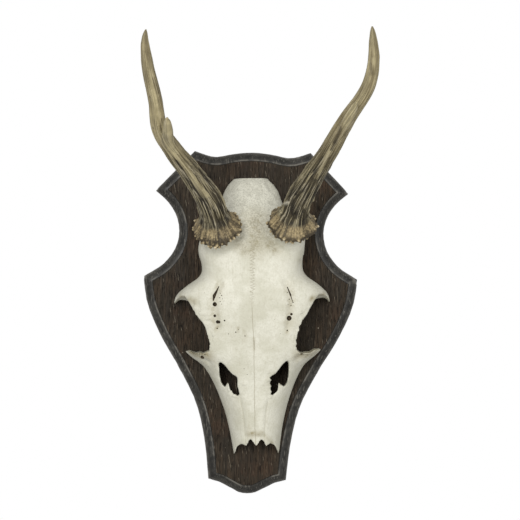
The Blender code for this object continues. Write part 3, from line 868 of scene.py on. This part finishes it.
def smooth_line(knots, count):
    """Evenly spread points of a smooth line through the knots."""
    knots = np.asarray(knots, float)
    lengths = np.concatenate(([0], np.cumsum(np.linalg.norm(np.diff(knots, axis=0), axis=1))))
    slopes = np.gradient(knots, lengths, axis=0)
    at = np.linspace(0, lengths[-1], count)
    i = np.clip(np.searchsorted(lengths, at, side="right") - 1, 0, len(knots) - 2)
    span = (lengths[i + 1] - lengths[i])[:, None]
    u = (at - lengths[i])[:, None] / span
    start = (1 + 2 * u) * (1 - u) ** 2 * knots[i] + u * (1 - u) ** 2 * span * slopes[i]
    return start + u * u * (3 - 2 * u) * knots[i + 1] + u * u * (u - 1) * span * slopes[i + 1]


for side, antler in ANTLERS.items():
    turned = np.array((antler["out"], -1, 1))
    antler["foot"] = np.array(antler["foot"])
    antler["tine"] = np.array(antler["tine"]) * turned
    antler["stub"] = np.array(Vector((antler["out"] * LEAN, -1, 1)).normalized())
    line = smooth_line(np.array(antler["path"]) * turned, STEPS + 1)
    antler["length"] = np.linalg.norm(np.diff(line, axis=0), axis=1).sum()
    along = np.linspace(0, antler["length"], STEPS + 1)
    share = ease(along, 5, 15)[:, None]
    antler["line"] = antler["foot"] + np.outer(along, antler["stub"]) * (1 - share) + line * share
    print(side, "beam:", round(antler["length"]), "mm along the curve")

# %% [markdown]
# The rod is a curve object turned into a mesh. The burr is a flat, flared ring: a short rod of its own that
# widens quickly at the foot. The front tine is a third rod. The three are joined, and a voxel remesh melts
# them into one skin, as bone has no joint there.

# %% Antlers: rods, burrs and tines
GRAIN = 0.32 * MM
TAPER = ((0, 1.0), (0.18, 0.91), (0.27, 0.76), (0.40, 0.68), (0.56, 0.60), (0.68, 0.50), (0.80, 0.45),
         (0.88, 0.40), (0.94, 0.30), (0.98, 0.18), (1, 0.05))
FLARE = ((0, 0.80), (0.8, 0.92), (2.0, 0.985), (3.4, 0.95), (6, 0.80), (9.1, 0.66), (SKIRT, 0.56))
# The steps of the path that become points of the rod. They stand closer at the tip, where it thins fast
KNOTS = np.concatenate((np.arange(0, 285, 6), (288, 292, 295, 298, 300)))
TINE_RADII = 3.7 * np.array((1.15, 1.12, 1.04, 0.95, 0.87, 0.79, 0.70, 0.54, 0.20))
TINE_LENGTH = 31
TINE_STEPS = 60


def rod(line, radii, smoothness):
    """A round rod along a line of points, with a radius at each, in millimetres of the skull's frame."""
    bpy.ops.curve.primitive_bezier_curve_add(location=(0, 0, 0))
    piece = bpy.context.object
    spline = piece.data.splines[0]
    spline.bezier_points.add(len(line) - 2)
    for knot, place, radius in zip(spline.bezier_points, line, radii):
        knot.co = SEAT @ (Vector(place) * MM)
        knot.handle_left_type = knot.handle_right_type = "AUTO"
        knot.radius = radius
    piece.data.dimensions = "3D"
    piece.data.resolution_u = 6
    piece.data.bevel_depth = MM
    piece.data.bevel_resolution = smoothness
    piece.data.use_fill_caps = True
    pick(piece)
    bpy.ops.object.convert(target="MESH")
    bpy.ops.object.mode_set(mode="EDIT")
    bpy.ops.mesh.select_all(action="SELECT")
    bpy.ops.mesh.remove_doubles(threshold=MERGE)
    bpy.ops.mesh.normals_make_consistent(inside=False)
    bpy.ops.object.mode_set(mode="OBJECT")
    return piece


def make_antler(side):
    antler = ANTLERS[side]
    line = antler["line"]
    beam = rod(line[KNOTS], np.interp(KNOTS / STEPS, *zip(*TAPER)) * BEAM, 14)
    heights, flares = np.array(FLARE).T
    burr = rod(antler["foot"] + np.outer(heights, antler["stub"]), BURR * flares, 22)
    root = round(antler["tine_place"] * STEPS)
    reach = antler["tine"] * TINE_LENGTH
    sag = np.array((0, 0, 0.05 * TINE_LENGTH))
    bend = (line[root - 15], line[root] + reach * 0.12 - sag, line[root] + reach * 0.55 - sag, line[root] + reach)
    antler["tine_line"] = smooth_line(bend, 9)
    tine = rod(antler["tine_line"], TINE_RADII, 8)
    pick(beam)
    burr.select_set(True)
    tine.select_set(True)
    bpy.ops.object.join()
    beam.name = beam.data.name = f"roe_antler_{side}"
    apply(beam, "REMESH", mode="VOXEL", voxel_size=GRAIN)
    apply(beam, "SMOOTH", factor=0.5, iterations=4)
    return beam


antler_pieces = {side: make_antler(side) for side in ANTLERS}
for piece in antler_pieces.values():
    print(piece.name, len(piece.data.vertices), "points")

# %% [markdown]
# To carve along the antler, each point needs an address: how far up the antler it lies, and where round it.
# Both come from the nearest place of the middle line.

# %% Antlers: the address of each point
BATCH = 4000  # points compared with the line at a time, to save memory


def address(places, line):
    """For each place its distance along a line, its turn round it and its distance from it."""
    ahead = np.gradient(line, axis=0)
    ahead /= np.linalg.norm(ahead, axis=1)[:, None]
    across = np.zeros_like(line)
    held = np.array((1.0, 0, 0))
    for i, way in enumerate(ahead):
        held = held - way * (held @ way)
        held /= np.linalg.norm(held)
        across[i] = held
    over = np.cross(ahead, across)
    steps = np.concatenate(([0], np.cumsum(np.linalg.norm(np.diff(line, axis=0), axis=1))))
    nearest = np.empty(len(places), int)
    for start in range(0, len(places), BATCH):
        part = places[start:start + BATCH]
        nearest[start:start + BATCH] = ((part[:, None] - line[None]) ** 2).sum(axis=2).argmin(axis=1)
    off = places - line[nearest]
    along = steps[nearest] + (off * ahead[nearest]).sum(axis=1)
    turn = np.arctan2((off * over[nearest]).sum(axis=1), (off * across[nearest]).sum(axis=1))
    return along, turn, np.linalg.norm(off, axis=1)


def lumps(places, size, low=0.15, high=0.55):
    """Round lumps scattered at about the size given: 1 on top of each, 0 between them."""
    gaps = np.array([noise.voronoi(place)[0][0] for place in places / size])
    return 1 - ease(gaps, low, high)


# %% [markdown]
# Light and dark marks lie on each antler where the photograph shows them, and so do the lobes of the burrs
# and a pale knob at the foot of the right beam. Each is a stroke: its pixels, its radius in millimetres and
# its strength. One dark stroke of the left antler is a painted shadow along the edge of its tine. Everywhere
# else the patterns of the next cell decide.

# %% Antlers: marks
PALE = {
    "left": (
        (((166, 124), (166, 134), (168, 146), (174, 154)), 3.6, 0.8),
        (((174, 154), (186, 168), (197, 182), (207, 196)), 2.2, 0.9),
        (((207, 196), (211, 206)), 1.8, 0.3),
        (((152, 92), (154, 118)), 3.0, 0.3),
    ),
    "right": (
        (((356, 104), (350, 114), (345, 124)), 3.2, 0.6),
        (((332, 147), (322, 166), (315, 178)), 2.4, 0.5),
        (((364, 84), (372, 60)), 3.0, 0.3),
    ),
}
DARK = {
    "left": (
        (((188, 151), (201, 171), (216, 195), (224, 213)), 3.0, 0.65),
        (((176, 161), (184, 174), (195, 190), (203, 203)), 1.5, 0.7),
        (((157, 144), (168, 163), (180, 181), (192, 201)), 2.6, 0.25),
        (((151, 52), (156, 76), (160.5, 96), (163.5, 110)), 1.6, 0.40),
        # A painted shadow line between the tine and the beam.
        (((161.5, 119), (160.9, 129), (162.2, 139), (166, 148)), 1.3, 0.5),
        (((150, 36), (146.5, 55), (148, 80)), 5.0, 0.30),
        (((216, 214), (218, 238)), 2.0, 0.7),
        (((206, 239), (214, 240.5), (225, 240)), 2.6, 0.7),
        (((153, 79), (158, 92)), 2.4, 0.55),
        (((164, 108), (165, 116)), 1.6, 0.6),
        (((150, 97),), 1.1, 0.6),
        (((153, 128),), 1.1, 0.7),
    ),
    "right": (
        (((340.5, 128), (334.5, 143)), 2.0, 1.0),
        (((334.5, 143), (331, 150)), 1.4, 0.7),
        (((285, 208), (296, 216)), 3.5, 0.8),
        (((300, 206), (306, 216)), 2.2, 0.6),
        (((322, 158), (314, 172)), 1.6, 0.6),
        (((371, 64), (372, 74)), 1.6, 0.4),
    ),
}
LOBES = {
    "left": (
        (((196, 232),), 4.0, 0.8), (((234, 222), (240, 230)), 4.5, 1.0), (((212, 243), (224, 243)), 4.0, 1.0),
    ),
    "right": (
        (((275, 211),), 5.0, 1.3), (((276, 236), (284, 239)), 4.0, 0.8), (((300, 240),), 3.5, 0.9),
    ),
}
KNOBS = {"left": (), "right": ((((285, 204), (288, 202.5)), 1.7, 0.8),)}
print("marks:", sum(len(table[side]) for table in (PALE, DARK, LOBES, KNOBS) for side in table))

# %% [markdown]
# Furrows run up the beam: a noise pattern in the two numbers of the address, stretched along the beam. A
# thin ridge stands where one pattern passes through zero and a furrow where another does. Near the foot
# they are deep, and towards the tip the horn is rubbed smooth. The burr gets lobes and pearls on its rim,
# and rays with a fine grain on its slope. The same patterns are stored as tones for the material.

# %% Antlers: carving
SEEDS = {"left": 10, "right": 47}  # so that the two antlers differ


def carve(side):
    antler, piece, seed = ANTLERS[side], antler_pieces[side], SEEDS[side]
    places, facing = read_points(piece)
    local = (places @ TO_SEAT[:3, :3].T + TO_SEAT[:3, 3]) / MM
    skin = surface_of(piece)
    along, turn, off = address(local, antler["line"])
    share = along / antler["length"]
    tine_along, _, tine_off = address(local, smooth_line(antler["tine_line"], TINE_STEPS))
    on_tine = ease(off / 4.6 - tine_off / 3.4, -0.1, 0.25) * ease(tine_along, 5, 9)
    # Ridges and furrows of the beam
    twist = turn + 0.2 * noise_at(np.column_stack((np.cos(turn), np.sin(turn), along / 22 + seed)), 1)
    ring = np.column_stack((np.cos(twist), np.sin(twist)))

    def pattern(fineness, length, octaves=2, shift=0):
        return noise_at(np.column_stack((ring * fineness, along / length + seed + shift)), octaves)

    swell = pattern(1.8, 26)
    hair = pattern(9.5, 14, 1)
    ridge = np.exp(-((pattern(4.6, 30, 2, 20) / 0.12) ** 2))
    furrow = np.exp(-((pattern(5.2, 28, 2, 60) / 0.16) ** 2))
    deep = (1 - ease(share, 0.26, 0.62)) * (1 - on_tine)
    pale = brush(places, skin, PALE[side])
    dark = brush(places, skin, DARK[side])
    knob = brush(places, skin, KNOBS[side])
    bumps = lumps(np.column_stack((ring * 7.5, along * 0.5)) + seed, 2.6)
    low_beam = ease(along, 6, 12) * (1 - ease(along, 24, 45)) * (1 - on_tine)
    relief = deep * (0.50 * ridge - 0.80 * furrow + 0.55 * swell + 0.15 * hair - 0.05)
    relief += (1 - deep) * (0.10 * hair + 0.25 * swell - 0.22 * furrow * (1 - ease(share, 0.75, 0.95)))
    relief += 0.35 * low_beam * bumps - 0.5 * dark * deep
    # The burr: lobes, pearls on the rim, a grain on the slope
    slope = 1 - ease(along, 4.5, 11)
    rim = (1 - ease(along, 2.4, 5.4)) * ease(off, 8.8, 11.2)
    lobes = brush(places, skin, LOBES[side]) + 0.7 * noise_at(np.column_stack((ring * 1.5, along * 0 + seed)))
    pearls = lumps(local + seed, 2.4) * (0.9 + 0.25 * noise_at(local / 4))
    small = lumps(local + seed + 5, 1.0)
    rays = np.exp(-((pattern(6.5, 30, 1, 90) / 0.22) ** 2))
    burr_relief = rim * (1.70 * pearls - 0.35) + (1 - rim) * (0.26 * small - 0.30 * rays)
    relief = relief * ease(along, 5.0, 11.0) + burr_relief * slope
    axis = np.array(SEAT.to_3x3() @ Vector(antler["stub"]))
    spoke = facing - np.outer(facing @ axis, axis)
    spoke /= np.maximum(np.linalg.norm(spoke, axis=1), 0.2)[:, None]
    outward = 1.6 * lobes * ease(off, 9.5, 13.5) * slope
    moved = facing * (relief + 1.4 * knob)[:, None] + spoke * outward[:, None]
    move_points(piece, places + moved * MM)
    # What the material reads
    beam_tone = 0.34 + 0.62 * ridge - 0.45 * furrow + 0.30 * swell + 0.12 * hair
    top_tone = 0.62 + 0.34 * swell + 0.22 * hair - 0.28 * furrow
    tone = beam_tone * deep + top_tone * (1 - deep) + 0.60 * pale - 0.75 * dark
    burr_tone = rim * (0.02 + 0.98 * pearls) + (1 - rim) * (0.55 + 0.34 * small - 0.30 * rays + 0.2 * swell)
    polish = np.maximum(1 - deep, 0.8 * pale) - 0.6 * dark
    store(piece, tone=np.clip(tone, 0, 1), burr_tone=np.clip(burr_tone - 0.5 * dark, 0, 1), share=share, rim=rim,
          burr=1 - ease(along, 6.5, 13) + 0.3 * (swell - ridge * 0.5), polish=np.clip(polish, 0, 1), knob=knob)
    rolled = piece.data.attributes.new("skin", "FLOAT_VECTOR", "POINT")
    where = np.column_stack((np.cos(turn) * 6, np.sin(turn) * 6, along)) * MM
    rolled.data.foreach_set("vector", where.astype(np.float32).ravel())
    return relief


for side, piece in antler_pieces.items():
    relief = carve(side)
    print(piece.name, "relief from", round(relief.min(), 2), "to", round(relief.max(), 2), "mm")

# %% [markdown]
# The colour of an antler comes from what it was rubbed on: bark juice settles dark in the furrows, and the
# ridges and tips are polished pale. So the material reads the tone that was stored while carving. A
# fibre pattern in the antler's own address runs along the beam wherever it bends.

# %% Antlers: material
horn, tree, shader, place = new_material("antler", 0.32)
skin = add(tree, "Attribute", attribute_name="skin", attribute_type="GEOMETRY").outputs["Vector"]
share = stored(tree, "share")
polish = stored(tree, "polish")
threads = use(tree, FIBRES, skin, Width=0.60, Length=30.0, Low=0.40, High=0.62)
pale_threads = use(tree, FIBRES, skin, Width=0.58, Length=24.0, Low=0.56, High=0.62)
dark_threads = use(tree, FIBRES, skin, Width=0.60, Length=20.0, Low=0.56, High=0.63)
clouds = use(tree, MOTTLE, place, Size=8.0, Low=0.42, High=0.64)
crumbs = use(tree, MOTTLE, place, Size=0.9, Low=0.42, High=0.64)
specks = use(tree, PITS, place, Spacing=2.6, Radius=0.11, Share=0.35)
furrow = blend(tree, polish, (0.026, 0.021, 0.013), (0.200, 0.160, 0.082))
ridge = blend(tree, polish, (0.330, 0.285, 0.175), (0.480, 0.412, 0.235))
tone = sums(tree, "ADD", stored(tree, "tone"), times(tree, sums(tree, "SUBTRACT", threads, 0.5), 0.30))
beam = blend(tree, spread(tree, tone, 0.12, 0.92), furrow, ridge)
beam = coats(tree, beam, (
    (pale_threads, spread(tree, polish, 0, 1, 0.62, 0.30), (0.54, 0.48, 0.34)),
    (dark_threads, 0.46, (0.045, 0.036, 0.022)),
    (clouds, 0.30, (0.140, 0.112, 0.058)),
    (spread(tree, share, 0.90, 1.0), 0.35, (0.150, 0.125, 0.070)),
))
burr_tone = stored(tree, "burr_tone")
rose = blend(tree, spread(tree, burr_tone, 0.05, 0.80), (0.030, 0.022, 0.012), (0.405, 0.316, 0.168))
pearly = times(tree, stored(tree, "rim"), spread(tree, burr_tone, 0.60, 0.92))
rose = coats(tree, rose, (
    (pearly, 0.75, (0.70, 0.62, 0.46)),
    (clouds, 0.22, (0.17, 0.13, 0.075)),
    (crumbs, 0.42, (0.11, 0.084, 0.045)),
))
colour = blend(tree, spread(tree, stored(tree, "burr"), 0.20, 0.85), beam, rose)
colour = coats(tree, colour, (
    (specks, 0.45, (0.030, 0.024, 0.015)),
    (stored(tree, "knob"), 0.75, (0.58, 0.54, 0.42)),
))
raised = sums(tree, "ADD", threads, times(tree, crumbs, 0.4))
height = sums(tree, "SUBTRACT", raised, sums(tree, "ADD", dark_threads, specks))
finish_material(tree, shader, colour, spread(tree, tone, 0, 1, 0.64, 0.42), height, 0.16)
for side, piece in antler_pieces.items():
    piece.data.materials.clear()
    piece.data.materials.append(horn)
    pick(piece)
    bpy.ops.object.shade_smooth()
    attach(piece, "root")
    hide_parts(f"antler_{side}")

# %% [markdown]
# The lesson ends with a look at the sizes: the dressed plaque has to stay inside the box of its solids.

# %% Sizes
dressed_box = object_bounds()
for name, box in (("solids", cad_box), ("dressed", dressed_box)):
    print(name, [[round(value / MM, 1) for value in corner] for corner in box])
